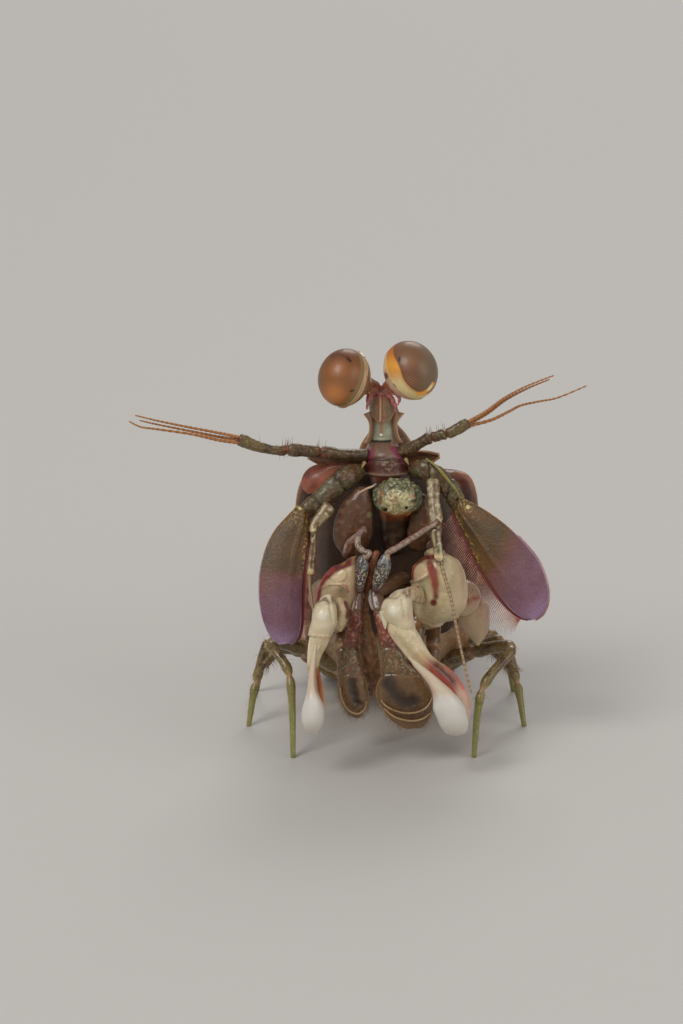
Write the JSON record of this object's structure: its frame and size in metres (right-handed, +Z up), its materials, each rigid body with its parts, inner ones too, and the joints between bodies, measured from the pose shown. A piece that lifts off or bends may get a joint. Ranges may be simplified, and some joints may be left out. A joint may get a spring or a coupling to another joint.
{
  "type": "mantis shrimp, pink-eared type, still life-size model",
  "caption": "Life-size still model of a smashing mantis shrimp reared up on its legs, clubs hanging, eyes on stalks, scales and feelers spread, armoured tail laid out behind.",
  "frame": {"origin": "floor level under the middle of the model's bounding box", "axes": "-Y is the way the animal faces, +Y runs along the tail, +X is the animal's left, +Z is up"},
  "size_m": [0.0372, 0.0686, 0.0329],
  "materials": {
    "shell": "olive-brown carapace and tail plates, satin, with fine mottling",
    "head_shell": "dark red-purple head shell, satin, slightly translucent",
    "cornea": "clear amber-brown compound eye, glossy, with a pale middle band",
    "eyestalk": "pale pink-cream stalk with brown freckles",
    "feeler": "olive-green stems with orange-brown ringed flagella",
    "scale": "olive base passing to violet with a pale rim, pebbled",
    "labrum": "green-mottled and cream with orange sides, wet gloss",
    "arm": "ivory to cream with maroon blotches, glossy",
    "club": "hard white club with a faint pink tinge, glossy",
    "maxilliped": "translucent tan with silver-blue and dark speckles",
    "leg": "translucent olive with yellow-green tips"
  },
  "bodies": {
    "root": {"carapace": "shell", "rostral_plate": "shell", "antennular_somite": "head_shell", "ophthalmic_somite": "head_shell", "eye_l": "cornea", "eyestalk_l": "eyestalk", "antenna_l": "feeler", "antennule_l": "feeler", "antennal_scale_l": "scale", "eye_r": "cornea", "eyestalk_r": "eyestalk", "antenna_r": "feeler", "antennule_r": "feeler", "antennal_scale_r": "scale", "mouth": "labrum", "maxilliped_1_l": "maxilliped", "maxilliped_3_l": "maxilliped", "maxilliped_4_l": "maxilliped", "maxilliped_5_l": "maxilliped", "raptor_merus_l": "arm", "raptor_carpus_l": "arm", "raptor_propodus_l": "arm", "raptor_dactyl_l": "club", "maxilliped_1_r": "maxilliped", "maxilliped_3_r": "maxilliped", "maxilliped_4_r": "maxilliped", "maxilliped_5_r": "maxilliped", "raptor_merus_r": "arm", "raptor_carpus_r": "arm", "raptor_propodus_r": "arm", "raptor_dactyl_r": "club", "thorax_5": "shell", "thorax_6": "shell", "thorax_7": "shell", "thorax_8": "shell", "abdomen_1": "shell", "abdomen_2": "shell", "abdomen_3": "shell", "abdomen_4": "shell", "abdomen_5": "shell", "abdomen_6": "shell", "telson": "shell", "walking_leg_1_l": "leg", "walking_leg_2_l": "leg", "walking_leg_3_l": "leg", "pleopod_1_l": "leg", "pleopod_2_l": "leg", "pleopod_3_l": "leg", "pleopod_4_l": "leg", "pleopod_5_l": "leg", "uropod_l": "scale", "walking_leg_1_r": "leg", "walking_leg_2_r": "leg", "walking_leg_3_r": "leg", "pleopod_1_r": "leg", "pleopod_2_r": "leg", "pleopod_3_r": "leg", "pleopod_4_r": "leg", "pleopod_5_r": "leg", "uropod_r": "scale"}
  },
  "joints": []
}
